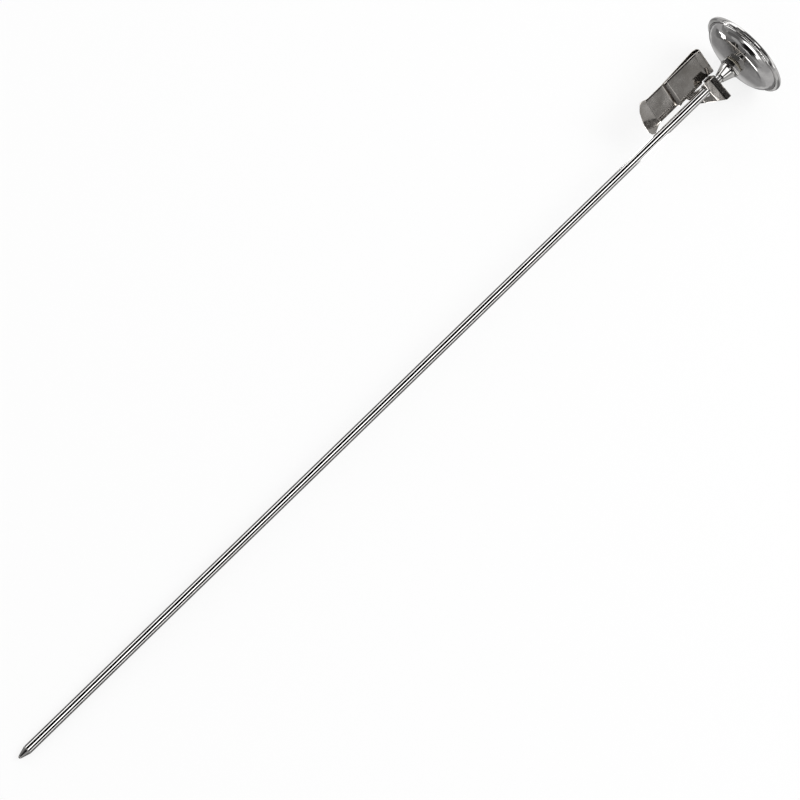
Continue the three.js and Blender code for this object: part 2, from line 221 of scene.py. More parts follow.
MATERIALS = {
    "polished_steel": metal(
        "polished_steel", (0.52, 0.51, 0.50), (0.66, 0.65, 0.64), (0.02, 0.06), (2500, 2500, 25), 0.0002
    ),
    "turned_steel": metal(
        "turned_steel", (0.50, 0.49, 0.48), (0.66, 0.65, 0.63), (0.02, 0.07), (3, 5000), 0.0002, True
    ),
    "polished_case": metal(
        "polished_case", (0.50, 0.49, 0.49), (0.64, 0.63, 0.62), (0.02, 0.07), (2, 2500), 0.0002, True
    ),
    "satin_steel": metal(
        "satin_steel", (0.56, 0.55, 0.54), (0.70, 0.69, 0.68), (0.05, 0.14), (6, 7000), 0.0006, True
    ),
    "spring_steel": metal(
        "spring_steel", (0.42, 0.395, 0.365), (0.62, 0.59, 0.56), (0.10, 0.22), (60, 2500, 60), 0.0006
    ),
    "bimetal": metal(
        "bimetal", (0.42, 0.30, 0.16), (0.60, 0.47, 0.27), (0.25, 0.42), (3, 4000), 0.001, True
    ),
    "brass": metal(
        "brass", (0.52, 0.36, 0.13), (0.72, 0.55, 0.25), (0.18, 0.34), (3, 5000), 0.001, True
    ),
    "dial_white": painted(
        "dial_white", (0.80, 0.80, 0.79), (0.87, 0.87, 0.86), (0.42, 0.58), 4000, 0.002
    ),
    "black_paint": painted(
        "black_paint", (0.008, 0.008, 0.009), (0.02, 0.02, 0.021), (0.35, 0.5), 5000, 0.002
    ),
    "white_plastic": painted(
        "white_plastic", (0.84, 0.84, 0.82), (0.92, 0.92, 0.90), (0.25, 0.38), 3000, 0.001
    ),
    "nylon": painted("nylon", (0.62, 0.58, 0.48), (0.76, 0.72, 0.62), (0.45, 0.6), 3000, 0.003),
    "seal_rubber": painted(
        "seal_rubber", (0.012, 0.012, 0.012), (0.03, 0.03, 0.03), (0.6, 0.8), 4000, 0.004
    ),
    "glass": clear_glass("glass"),
}

INKS = {
    "ink_black": ((0.010, 0.010, 0.011), (0.022, 0.022, 0.024)),
    "ink_blue": ((0.09, 0.36, 0.53), (0.12, 0.42, 0.59)),
    "ink_green": ((0.065, 0.41, 0.035), (0.09, 0.47, 0.05)),
    "ink_red": ((0.72, 0.08, 0.025), (0.80, 0.11, 0.035)),
    "ink_sky": ((0.10, 0.30, 0.58), (0.16, 0.38, 0.66)),
    "ink_field": ((0.20, 0.42, 0.06), (0.30, 0.52, 0.10)),
}
for ink, tints in INKS.items():
    MATERIALS[ink] = painted(ink, *tints, (0.4, 0.55), 6000, 0.001)


# ---- Shapes ----
def rounded(points, radius, steps=4, closed=True):
    """An outline with its corners rounded. radius is one number, or one for each point."""
    count = len(points)
    radii = radius if isinstance(radius, (list, tuple)) else [radius] * count
    made = []
    for i, (point, wanted) in enumerate(zip(points, radii)):
        corner = Vector(point)
        if wanted == 0 or (not closed and i in (0, count - 1)):
            made.append(tuple(corner))
            continue
        back = Vector(points[i - 1]) - corner
        ahead = Vector(points[(i + 1) % count]) - corner
        turn = math.pi - back.angle(ahead)
        if turn < math.radians(4):
            made.append(tuple(corner))
            continue
        reach = min(wanted * math.tan(turn / 2), 0.48 * back.length, 0.48 * ahead.length)
        start = corner + back.normalized() * reach
        end = corner + ahead.normalized() * reach
        for step in range(steps + 1):
            t = step / steps
            made.append(tuple(start * (1 - t) ** 2 + corner * 2 * t * (1 - t) + end * t**2))
    return made


def turned(profile, sides=96, radius_at=None):
    """Vertices and faces of a turned piece. Its profile of (radius, height) points starts and ends
    on the axis, or closes on itself. radius_at(angle, radius, height) may change a radius."""
    on_axis = profile[0][0] < 1e-9 and profile[-1][0] < 1e-9
    inner = profile[1:-1] if on_axis else profile
    vertices = []
    for radius, height in inner:
        for side in range(sides):
            angle = 2 * math.pi * side / sides
            reach = radius_at(angle, radius, height) if radius_at else radius
            vertices.append((reach * math.cos(angle), reach * math.sin(angle), height))
    faces = []
    rows = len(inner)
    for row in range(rows - 1 if on_axis else rows):
        above = (row + 1) % rows
        for side in range(sides):
            beside = (side + 1) % sides
            faces.append(
                (row * sides + side, row * sides + beside, above * sides + beside, above * sides + side)
            )
    if on_axis:
        for row, end in ((0, profile[0]), (rows - 1, profile[-1])):
            middle = len(vertices)
            vertices.append((0, 0, end[1]))
            for side in range(sides):
                face = (row * sides + side, middle, row * sides + (side + 1) % sides)
                faces.append(face if row == 0 else face[::-1])
    return vertices, faces


def thick_sheet(point, across, along, thickness, rim_steps=4):
    """Vertices and faces of a sheet with round edges, on the surface point(u, v)."""
    step = 1e-3
    half = thickness / 2
    places, normals, ways = {}, {}, {}
    for i in range(across + 1):
        for j in range(along + 1):
            u, v = i / across, j / along
            way_u = point(min(1, u + step), v) - point(max(0, u - step), v)
            way_v = point(u, min(1, v + step)) - point(u, max(0, v - step))
            normal = way_u.cross(way_v).normalized()
            places[i, j] = point(u, v)
            normals[i, j] = normal
            ways[i, j] = (way_v.cross(normal).normalized(), normal.cross(way_u).normalized())
    vertices, faces = [], []

    def add(place):
        vertices.append(tuple(place))
        return len(vertices) - 1

    grids = []
    for sign in (1, -1):
        grid = {key: add(places[key] + normals[key] * half * sign) for key in places}
        for i in range(across):
            for j in range(along):
                face = (grid[i, j], grid[i + 1, j], grid[i + 1, j + 1], grid[i, j + 1])
                faces.append(face if sign == 1 else face[::-1])
        grids.append(grid)
    loop = [(i, 0) for i in range(across)] + [(across, j) for j in range(along)]
    loop += [(i, along) for i in range(across, 0, -1)] + [(0, j) for j in range(along, 0, -1)]
    rows = [[grids[0][key] for key in loop]]
    for k in range(1, rim_steps):
        tilt = math.pi / 2 - math.pi * k / rim_steps
        row = []
        for i, j in loop:
            past_u, past_v = ways[i, j]
            out = past_u * ((i == across) - (i == 0)) + past_v * ((j == along) - (j == 0))
            way = normals[i, j] * math.sin(tilt) + out.normalized() * math.cos(tilt)
            row.append(add(places[i, j] + way * half))
        rows.append(row)
    rows.append([grids[1][key] for key in loop])
    for upper, lower in zip(rows, rows[1:]):
        for k in range(len(loop)):
            ahead = (k + 1) % len(loop)
            faces.append((upper[ahead], upper[k], lower[k], lower[ahead]))
    return vertices, faces


def raised(outline, low, high, bevel=0.0):
    """Vertices and faces of a flat plate from its outline of (x, y) points, counter-clockwise.
    With a bevel its upper edge is drawn in by that much."""
    count = len(outline)
    rings = [(outline, low), (outline, high - bevel)]
    if bevel:
        drawn_in = []
        for i in range(count):
            corner = Vector(outline[i])
            back = (corner - Vector(outline[i - 1])).normalized()
            ahead = (Vector(outline[(i + 1) % count]) - corner).normalized()
            into = Vector((-(back + ahead).y, (back + ahead).x)).normalized()
            lean = max(0.3, into.dot(Vector((-ahead.y, ahead.x))))
            drawn_in.append(tuple(corner + into * bevel / lean))
        rings.append((drawn_in, high))
    vertices = [(x, y, z) for points, z in rings for x, y in points]
    faces = [tuple(range(count))[::-1], tuple(range(count * (len(rings) - 1), count * len(rings)))]
    for lower in range(0, count * (len(rings) - 1), count):
        upper = lower + count
        for i in range(count):
            ahead = (i + 1) % count
            faces.append((lower + i, lower + ahead, upper + ahead, upper + i))
    return vertices, faces


def joined(*shapes):
    vertices, faces = [], []
    for more_vertices, more_faces in shapes:
        start = len(vertices)
        vertices += more_vertices
        faces += [tuple(start + index for index in face) for face in more_faces]
    return vertices, faces


def mesh_of(name, shape):
    mesh = bpy.data.meshes.new(name)
    vertices, faces = shape
    mesh.from_pydata([(x * MM, y * MM, z * MM) for x, y, z in vertices], [], faces)
    mesh.validate()
    return mesh


def add_object(name, mesh, place):
    made = bpy.data.objects.new(name, mesh)
    bpy.context.scene.collection.objects.link(made)
    made.matrix_world = place
    return made


def piece(name, shape, material, body, node_name=None, place=HEAD, sharp=40):
    """A piece of the thermometer that rides on a body, and stands for a CAD node if one is named."""
    mesh = shape if isinstance(shape, bpy.types.Mesh) else mesh_of(name, shape)
    made = add_object(name, mesh, place)
    made.data.materials.clear()
    made.data.materials.append(MATERIALS[material])
    made.data.shade_smooth()
    made.data.set_sharp_from_angle(angle=math.radians(sharp))
    even = made.modifiers.new("even_shading", "WEIGHTED_NORMAL")
    even.keep_sharp = True
    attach(made, body)
    if node_name:
        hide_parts(node_name)
    return made


# ---- The stem and what it holds ----
def up_stem(height):
    """A height above the tip's point, as a height in the head's frame."""
    return height - STEM_LENGTH


def ring_profile(inner, outer, low, high):
    return [(inner, low), (outer, low), (outer, high), (inner, high)]


def stem_tube():
    low = up_stem(TIP_LENGTH + 0.02)
    high = up_stem(STEM_LENGTH + 0.3)
    profile = rounded(ring_profile(STEM_BORE, STEM_RADIUS, low, high), 0.08)
    return turned(profile, 64)


def stem_tip():
    """A plug, ground to a point, with a fine groove where it meets the tube."""
    joint = TIP_LENGTH - 0.05
    points = [
        (0, up_stem(0)),
        (0.42, up_stem(0.1)),
        (0.9, up_stem(0.8)),
        (STEM_RADIUS - 0.02, up_stem(joint - 0.35)),
        (STEM_RADIUS - 0.02, up_stem(joint - 0.1)),
        (STEM_RADIUS - 0.14, up_stem(joint)),
        (TIP_SPIGOT_RADIUS, up_stem(joint)),
        (TIP_SPIGOT_RADIUS, up_stem(TIP_SPIGOT_TOP)),
        (0, up_stem(TIP_SPIGOT_TOP)),
    ]
    return turned(rounded(points, [0, 0.25, 0.6, 0.5, 0.1, 0.05, 0.1, 0.2, 0], closed=False), 64)


def coil_anchor():
    low = up_stem(TIP_SPIGOT_TOP + 0.1)
    high = up_stem(COIL_LOW - 0.1)
    middle = (low + high) / 2
    radius = TIP_SPIGOT_RADIUS
    points = [(0, low), (radius, low), (radius, middle - 0.3), (radius - 0.3, middle)]
    points += [(radius, middle + 0.3), (radius, high), (0, high)]
    return turned(rounded(points, [0, 0.25, 0.1, 0.2, 0.1, 0.25, 0], closed=False), 48)


def bimetal_coil():
    climb = COIL_HIGH - COIL_LOW - COIL_STRIP_WIDTH

    def wound(u, v):
        angle = 2 * math.pi * COIL_TURNS * u
        height = up_stem(COIL_LOW + climb * u + COIL_STRIP_WIDTH * v)
        return Vector((COIL_RADIUS * math.cos(angle), COIL_RADIUS * math.sin(angle), height))

    return thick_sheet(wound, COIL_TURNS * 32, 3, COIL_STRIP_THICKNESS)


def coil_collar():
    low = up_stem(COIL_HIGH + 0.15)
    high = up_stem(COIL_HIGH + 4)
    radius = COIL_RADIUS + 0.2
    points = [(0, low), (radius, low), (radius, low + 1.4), (radius - 0.2, low + 1.7)]
    points += [(radius - 0.2, low + 2.2), (radius, low + 2.5), (radius, high), (0, high)]
    return turned(rounded(points, [0, 0.3, 0.2, 0.15, 0.15, 0.2, 0.4, 0], closed=False), 48)


def drive_shaft():
    low = up_stem(COIL_HIGH + 4.05)
    points = [(0, low), (SHAFT_RADIUS, low), (SHAFT_RADIUS, SHAFT_TOP), (0, SHAFT_TOP)]
    return turned(rounded(points, [0, 0.15, 0.2, 0], closed=False), 32)


def shaft_guide(height):
    """A nylon bush with a waist."""
    low = up_stem(height)
    high = low + GUIDE_LENGTH
    inner = SHAFT_RADIUS + 0.1
    outer = STEM_BORE - 0.05
    points = [(inner, low), (outer, low), (outer, low + 1), (outer - 0.3, low + 1.3)]
    points += [(outer - 0.3, high - 1.3), (outer, high - 1), (outer, high), (inner, high)]
    return turned(rounded(points, 0.15), 48)


# ---- The neck ----
def hex_collar():
    """A hexagon with chamfered ends, and a spigot that goes through the case."""
    chamfer = 0.5
    flat = HEX_ACROSS_FLATS / 2
    corner = flat / math.cos(math.pi / 6)
    edge_round = 0.12
    outside = [
        (flat - 0.1, HEX_LOW),
        (corner, HEX_LOW + chamfer),
        (corner, HEX_HIGH - chamfer),
        (flat - 0.1, HEX_HIGH),
    ]
    points = [(NECK_BORE, HEX_LOW), *outside, (SPIGOT_RADIUS, HEX_HIGH)]
    points += [(SPIGOT_RADIUS, SPIGOT_TOP), (NECK_BORE, SPIGOT_TOP)]
    fine = []
    for (radius, height), (next_radius, next_height) in zip(points, points[1:] + points[:1]):
        on_chamfer = 0.1 < abs(next_height - height) < 1.1 * chamfer
        steps = 10 if on_chamfer else 1
        for k in range(steps):
            t = k / steps
            fine.append((radius + (next_radius - radius) * t, height + (next_height - height) * t))

    def six_sided(angle, radius, height):
        if radius < flat - 0.2:
            return radius
        off = (angle - HEX_TURN + math.pi / 6) % (math.pi / 3) - math.pi / 6
        side = flat / math.cos(off)
        side = min(side, corner - edge_round + edge_round * math.sin(abs(off) / (math.pi / 6)) * 0.5)
        return min(radius, side)

    return turned(fine, 144, six_sided)


def stem_ferrule():
    top = HEX_LOW - 0.15
    points = [
        (2.75, FERRULE_LOW),
        (3.0, FERRULE_LOW + 1),
        (FERRULE_RADIUS - 0.1, top - 1.2),
        (FERRULE_RADIUS, top - 0.8),
        (FERRULE_RADIUS, top),
        (NECK_BORE, top),
        (NECK_BORE, FERRULE_LOW),
    ]
    return turned(rounded(points, [0.1, 3, 1.5, 0.8, 0.15, 0.1, 0.1]), 96)


def friction_washer():
    low = HEX_HIGH + 0.15
    return turned(rounded(ring_profile(SPIGOT_RADIUS + 0.15, 5, low, -1.95), 0.08), 64)


def retaining_ring():
    """A push-on ring: its inner edge is cut into teeth that grip the spigot."""
    low = -1.15
    high = low + 0.6
    teeth = 8
    inner = SPIGOT_RADIUS + 0.1
    slot_depth = 3.9
    plain = 4.2
    outer = 5.2
    points = [(inner, low), (plain, low), (outer, low), (outer, high), (plain, high), (inner, high)]

    def toothed(angle, radius, height):
        in_slot = (angle * teeth / (2 * math.pi)) % 1 < 0.25
        return slot_depth if radius < slot_depth and in_slot else radius

    return turned(rounded(points, 0.06, 2), 128, toothed)


# ---- The head ----
def case_back():
    """The case: a slightly domed back, a knuckle, a rounded flank and a flat flange."""
    outside = [
        (CASE_HOLE, -BACK_DOME),
        (5.2, -BACK_DOME),
        (17.5, -0.06),
        (20, 1.3),
        (21.2, 2.35),
        (22.2, 3.6),
        (22.8, 4.7),
        (23, 5.45),
        (24.2, 5.45),
    ]
    inside = [
        (24.2, 5.95),
        (22.5, 5.95),
        (22.28, 4.75),
        (21.74, 3.85),
        (20.82, 2.7),
        (19.7, 1.74),
        (17.55, 0.55),
        (5.2, SHEET - BACK_DOME),
        (CASE_HOLE, SHEET - BACK_DOME),
    ]
    radii = [0.1, 0.8, 4.6, 4, 4, 4, 4, 0.15, 0.1]
    radii += [0.1, 0.5, 4, 4, 4, 4, 1, 0.8, 0.1]
    return turned(rounded(outside + inside, radii, 5), 144)


def bezel_ring():
    """A channel of sheet steel, rolled round the window and the case's flange."""
    lip = 4.9
    lip_edge = 23.25
    bore = RIM_RADIUS - 0.6
    points = [
        (lip_edge, lip),
        (RIM_RADIUS - 0.85, lip),
        (RIM_RADIUS - 0.6, lip + 0.1),
        (RIM_RADIUS, 6.35),
        (RIM_RADIUS - 0.3, HEAD_FRONT - 0.35),
        (RIM_RADIUS - 0.9, HEAD_FRONT),
        (WINDOW_OPENING, HEAD_FRONT),
        (WINDOW_OPENING, HEAD_FRONT - SHEET),
        (bore, HEAD_FRONT - SHEET),
        (bore, lip + 0.45),
        (lip_edge, lip + 0.45),
    ]
    return turned(rounded(points, [0.1, 1, 0.5, 1.2, 0.5, 1, 0.12, 0.12, 0.1, 0.1, 0.1], 6), 144)


def window_gasket():
    return turned(rounded(ring_profile(21.8, WINDOW_RADIUS, 6.0, WINDOW_LOW - 0.05), 0.1), 128)


def window_pane():
    points = [(0, WINDOW_LOW), (WINDOW_RADIUS, WINDOW_LOW), (WINDOW_RADIUS, 7.2), (0, 7.2)]
    return turned(rounded(points, [0, 0.12, 0.12, 0], closed=False), 128)


def dial_spacer():
    return turned(rounded(ring_profile(21, 21.7, DIAL_FACE + 0.05, 5.9), 0.1), 128)


def dial_plate():
    return turned(rounded(ring_profile(1.2, DIAL_RADIUS, DIAL_FACE - 0.3, DIAL_FACE), 0.06), 128)


# ---- The dial's print ----
INK = 0.02  # how far the coloured ink stands out, and half of what the black ink does
INK_LOW = DIAL_FACE - 0.005
INK_TOP = DIAL_FACE + 2 * INK
SCALE_OUTER = 17.0
SCALE_INNER = 13.1
FIRST_F = 40
LAST_F = 180


def dial_angle(reading):
    return math.radians(90 - (reading - TOP_OF_SCALE_F) * DEGREES_PER_F)


def polar(radius, angle):
    return (radius * math.cos(angle), radius * math.sin(angle))


def arc_band(inner, outer, start_f, end_f, low, high):
    """A flat band between two readings."""
    steps = max(2, round(abs(end_f - start_f)))
    angles = [dial_angle(start_f + (end_f - start_f) * k / steps) for k in range(steps + 1)]
    outline = [polar(inner, angle) for angle in angles]
    outline += [polar(outer, angle) for angle in reversed(angles)]
    return raised(outline, low, high)


def tick(reading):
    """A mark: a short bar each 2 degrees, a longer one each 10 and a long wedge each 20."""
    if reading % 20 == 0:
        length, outer_width, inner_width = 2.9, 0.62, 0.14
    elif reading % 10 == 0:
        length, outer_width, inner_width = 2.05, 0.36, 0.36
    else:
        length, outer_width, inner_width = 1.1, 0.24, 0.24
    angle = dial_angle(reading)
    way = Vector(polar(1, angle))
    side = Vector((-way.y, way.x))
    outer = way * SCALE_OUTER
    inner = way * (SCALE_OUTER - length)
    corners = [
        inner - side * inner_width / 2,
        outer - side * outer_width / 2,
        outer + side * outer_width / 2,
        inner + side * inner_width / 2,
    ]
    return raised([tuple(corner) for corner in corners], INK_LOW, INK_TOP)


def lettering(text, height, radius, angle, along_arc, weight):
    """Figures as a mesh's vertices and faces, in millimetres, centred at that place on the dial."""
    curve = bpy.data.curves.new(text, "FONT")
    curve.body = text
    curve.align_x = "CENTER"
    curve.align_y = "CENTER"
    curve.size = height / 0.70
    curve.offset = weight
    curve.extrude = INK
    curve.resolution_u = 4
    holder = bpy.data.objects.new(text, curve)
    bpy.context.scene.collection.objects.link(holder)
    bpy.context.view_layer.update()
    graph = bpy.context.evaluated_depsgraph_get()
    mesh = bpy.data.meshes.new_from_object(holder.evaluated_get(graph))
    turn = Matrix.Rotation(angle - math.pi / 2 if along_arc else 0, 3, "Z")
    centre = Vector((*polar(radius, angle), DIAL_FACE + INK))
    middle = sum((Vector(corner) for corner in holder.bound_box), Vector()) / 8
    vertices = [tuple(turn @ (v.co - middle) + centre) for v in mesh.vertices]
    faces = [tuple(polygon.vertices) for polygon in mesh.polygons]
    bpy.data.objects.remove(holder)
    return vertices, faces


def degree_sign(radius, angle):
    """A small raised ring, centred at that place."""
    centre = polar(radius, angle)
    inner, outer = 0.22, 0.42
    vertices, faces = turned(ring_profile(inner, outer, INK_LOW, INK_TOP), 24)
    return [(x + centre[0], y + centre[1], z) for x, y, z in vertices], faces


def scale_print():
    shapes = [tick(reading) for reading in range(FIRST_F, LAST_F + 1, 2)]
    shapes.append(arc_band(SCALE_OUTER - 0.1, SCALE_OUTER + 0.06, 80, 160, INK_LOW, INK_TOP))
    shapes.append(arc_band(SCALE_INNER - 0.08, SCALE_INNER + 0.08, 80, 160, INK_LOW, INK_TOP))
    for reading in range(FIRST_F, LAST_F + 1, 20):
        shapes.append(lettering(str(reading), 1.9, 11.9, dial_angle(reading), False, 0.03))
    for reading in range(FIRST_F + 10, LAST_F, 20):
        celsius = math.floor((reading - 32) * 5 / 9)
        shapes.append(lettering(str(celsius), 1.3, 18.15, dial_angle(reading), True, 0.02))
    shapes.append(lettering("F", 1.6, 13.2, dial_angle(33.5), False, 0.03))
    shapes.append(degree_sign(13.4, dial_angle(38.2)))
    shapes.append(lettering("C", 1.3, 18.2, dial_angle(33), True, 0.03))
    shapes.append(degree_sign(18.7, dial_angle(36.2)))
    return joined(*shapes)


ROUNDEL_RADIUS = 6.2
ROUNDEL_CENTRE = (0, -2.1)
HORIZON = 0.4


def roundel_slice(low, high):
    """The part of the roundel between two heights, as a flat plate."""
    steps = 24

    def edge(height, x):
        limit = math.sqrt(max(0, ROUNDEL_RADIUS**2 - x**2))
        return max(-limit, min(limit, height))

    xs = [ROUNDEL_RADIUS * math.sin(math.pi / 2 * (2 * k / steps - 1)) for k in range(steps + 1)]
    kept = []
    for x, y in [(x, edge(low, x)) for x in xs] + [(x, edge(high, x)) for x in reversed(xs)]:
        place = (x + ROUNDEL_CENTRE[0], y + ROUNDEL_CENTRE[1])
        if not kept or math.dist(kept[-1], place) > 1e-4:
            kept.append(place)
    if math.dist(kept[0], kept[-1]) < 1e-4:
        kept.pop()
    return raised(kept, INK_LOW, DIAL_FACE + INK)


def roundel_line():
    """The black line round the roundel."""
    inner = ROUNDEL_RADIUS - 0.1
    outer = ROUNDEL_RADIUS + 0.1
    vertices, faces = turned(ring_profile(inner, outer, INK_LOW, INK_TOP), 96)
    return [(x + ROUNDEL_CENTRE[0], y + ROUNDEL_CENTRE[1], z) for x, y, z in vertices], faces


# ---- The pointer ----
def pointer_blade():
    outline = [
        (-7.9, -1.3),
        (-1.2, -0.75),
        (1.2, -0.75),
        (15.9, -0.3),
        (15.9, 0.3),
        (1.2, 0.75),
        (-1.2, 0.75),
        (-7.9, 1.3),
    ]
    outline = rounded(outline, [0.1, 3, 3, 0.15, 0.15, 3, 3, 0.1], 3)
    blade = raised(outline, POINTER_LOW, POINTER_LOW + 0.25, 0.05)
    eye = ring_profile(SHAFT_RADIUS + 0.05, 1.34, POINTER_LOW - 0.01, POINTER_LOW + 0.26)
    return joined(blade, turned(rounded(eye, 0.04), 48))


def pointer_hub():
    profile = ring_profile(SHAFT_RADIUS + 0.05, 1.54, POINTER_LOW + 0.3, SHAFT_TOP)
    return turned(rounded(profile, 0.12), 64)


def pointer_cap():
    low = SHAFT_TOP + 0.05
    points = [(0, low), (1.13, low), (1.13, low + 0.3), (0, low + 0.3)]
    return turned(rounded(points, [0, 0.05, 0.25, 0], closed=False), 64)


# ---- The clip ----
# In the clip's frame X runs across its leaves, Y points from the front leaf to the back leaf, and Z
# runs up the stem.
CLIP_LEFT = -18.3
CLIP_RIGHT = -2.6
CLIP_HOLE = 2.75
LEAF_DEPTH = 4
LEAF_FOOT = 4.5
LIP_FRONT = -4
LIP_HIGH = 27.5
EAR_TURN = math.radians(-15)
EAR_BACK = 3.2
EAR_LEFT = -4.15
EAR_RIGHT = 10
EAR_LOWER_EDGE = [(EAR_LEFT, 9.5), (3.2, 14.2), (EAR_RIGHT, 24.7)]
EAR_RELIEF = 0.95  # how far the ear's edge is cut back beside the front leaf
EAR_RELIEF_SHARE = [(15.6, 0), (16.2, 1), (19, 1), (19.6, 0)]
LEAF_NOTCH = [(21.8, 0), (22.4, 1)]  # how far in the leaf's right edge goes, by its height
EAR_BACK_EDGE = [(EAR_LEFT, 7), (-2, 7), (4.5, 3.5), (EAR_RIGHT, -2)]
FOOT_TOP = -7


def along_line(line):
    """A function of t from 0 to 1 that goes along a line of points at an even speed."""
    lengths = [0.0]
    for here, ahead in zip(line, line[1:]):
        lengths.append(lengths[-1] + math.dist(here, ahead))

    def at(t):
        wanted = t * lengths[-1]
        k = 1
        while k < len(lengths) - 1 and lengths[k] < wanted:
            k += 1
        share = (wanted - lengths[k - 1]) / (lengths[k] - lengths[k - 1])
        return Vector(line[k - 1]).lerp(Vector(line[k]), share)

    return at


def height_at(line, x):
    """The height of a line of points with rising x, at that x."""
    for (left, height), (right, next_height) in zip(line, line[1:]):
        if x <= right:
            return height + (next_height - height) * (x - left) / (right - left)
    return line[-1][1]


def above(line, low):
    """What is above a height of a line of (y, z) points that rises."""
    for k, (here, ahead) in enumerate(zip(line, line[1:])):
        if ahead[1] > low:
            share = max(0, (low - here[1]) / (ahead[1] - here[1]))
            return [tuple(Vector(here).lerp(Vector(ahead), share)), *line[k + 1 :]]


# How the strip is twisted: its slope across, by the share of its length from the hem.
SPRUNG = [(0, -0.01), (0.12, -0.01), (0.35, 0.008), (0.5, 0), (0.75, 0.03), (1, 0.03)]


def clip_leaves():
    """One strip: the hem, the front leaf, the bend over the top, the back leaf and its flared foot."""
    half = CLIP_SHEET / 2
    line = [
        (LEAF_DEPTH - 0.62, LEAF_FOOT + 2.2 - half),
        (LEAF_DEPTH - 0.62, LEAF_FOOT + half),
        (LEAF_DEPTH, LEAF_FOOT + half),
        (LEAF_DEPTH, 27),
        (3.1, 29.9),
        (3.5, 30.7),
        (5.4, 31),
        (7.4, 30.3),
        (8, 28.6),
        (5, 3),
        (5, FOOT_TOP),
    ]
    at = along_line(rounded(line, [0, 0.31, 0.31, 2, 0.8, 1, 2, 1.5, 1.5, 8, 0], 6, closed=False))
    foot = clip_foot()
    leaf_share = 0.9

    def strip(u, v):
        if v > leaf_share:
            place = foot(u, (v - leaf_share) / (1 - leaf_share))
        else:
            y, z = at(v / leaf_share)
            right = CLIP_RIGHT - height_at(LEAF_NOTCH, max(LEAF_NOTCH[0][0], z))
            place = Vector((CLIP_LEFT + half + (right - CLIP_LEFT - 2 * half) * u, y, z))
        place.y += height_at(SPRUNG, v) * (place.x - (CLIP_LEFT + CLIP_RIGHT) / 2)
        return place

    return thick_sheet(strip, 16, 200, CLIP_SHEET)


def clip_foot():
    """The surface of the flared foot: a patch between its four edges, bent back below the leaf."""
    half = CLIP_SHEET / 2
    bend = rounded([(FOOT_TOP, 5), (-8.0, 5.0), (-8.8, 5.4), (-15.6, 8.7)], 2, 6, closed=False)
    corner_left = (-18.35, -10.9)
    corner_right = (1.35, -12.9)
    left = [(CLIP_LEFT + half, FOOT_TOP), (-18.3, -8.2), (-18.65, -9.4), corner_left]
    right = [(CLIP_RIGHT - half, FOOT_TOP), (-2.5, -9), corner_right]
    bottom = [corner_left, (-14, -13.35), (-7, -14.95), (-1, -15.15), (1.0, -14.3), corner_right]
    left, right, bottom = (along_line(rounded(edge, 3, closed=False)) for edge in (left, right, bottom))

    def depth_at(z):
        for (high, depth), (low, next_depth) in zip(bend, bend[1:]):
            if z >= low:
                return depth + (next_depth - depth) * (high - z) / (high - low)
        return bend[-1][1]

    def foot(u, v):
        top_u = left(0).lerp(right(0), u)
        corners = top_u * (1 - v) + left(1).lerp(right(1), u) * v
        x, z = top_u * (1 - v) + bottom(u) * v + left(v).lerp(right(v), u) - corners
        return Vector((x, depth_at(z), z))

    return foot


def clip_ear():
    """One sheet: up behind the stem, forward past it, up the lip and back over the top."""
    half = CLIP_SHEET / 2
    top = LIP_HIGH - half
    fold = (LIP_FRONT, top - 0.9)
    line = [(EAR_BACK, 8), (EAR_BACK, 16.5), (-2.3, 20.5), (LIP_FRONT, 24), fold]
    line = rounded(line, [0, 1.2, 0.7, 0.6, 0], 8, closed=False)

    def ear(u, v):
        x = EAR_LEFT + half + (EAR_RIGHT - EAR_LEFT - CLIP_SHEET) * u
        if v < 0.7:
            y, z = along_line(above(line, height_at(EAR_LOWER_EDGE, x) + half))(v / 0.7)
            share = height_at(EAR_RELIEF_SHARE, max(EAR_RELIEF_SHARE[0][0], z))
            x += EAR_RELIEF * share * (1 - u) ** 4
        else:
            back = height_at(EAR_BACK_EDGE, x) - half
            bend = rounded([fold, (LIP_FRONT, top), (back, top)], [0, 0.6, 0], 6, closed=False)
            y, z = along_line(bend)((v - 0.7) / 0.3)
        return Vector((x, y, z))

    return thick_sheet(ear, 30, 100, CLIP_SHEET)


def clip_wall():
    """The ear's side wall, from the front leaf forward to the lip."""
    half = CLIP_SHEET / 2

    def wall(u, v):
        forward = 3.4 + (LIP_FRONT - 3.4) * v
        low = 23.4 - 2.3 * v
        return Vector((EAR_LEFT + half, forward, low + (LIP_HIGH - half - low) * u))

    return thick_sheet(wall, 8, 12, CLIP_SHEET - 0.02)


def combine(base, other, operation):
    """One mesh object joined to another, or cut by it. The other is removed."""
    change = base.modifiers.new(operation, "BOOLEAN")
    change.operation = operation
    change.solver = "EXACT"
    change.object = other
    bpy.context.view_layer.update()
    graph = bpy.context.evaluated_depsgraph_get()
    mesh = bpy.data.meshes.new_from_object(base.evaluated_get(graph))
    base.modifiers.clear()
    base.data = mesh
    bpy.data.objects.remove(other)


def clip_spring():
    here = Matrix.Identity(4)
    whole = add_object("clip_whole", mesh_of("clip_leaves", clip_leaves()), here)
    turned_ear = Matrix.Rotation(EAR_TURN, 4, "Z")
    for name, shape in (("ear", clip_ear()), ("wall", clip_wall())):
        sheet = add_object(name, mesh_of(name, shape), turned_ear)
        combine(whole, sheet, "UNION")
    hole = turned([(0, -30), (CLIP_HOLE, -30), (CLIP_HOLE, 50), (0, 50)], 64)
    combine(whole, add_object("hole", mesh_of("hole", hole), here), "DIFFERENCE")
    mesh = whole.data
    bpy.data.objects.remove(whole)
    return mesh


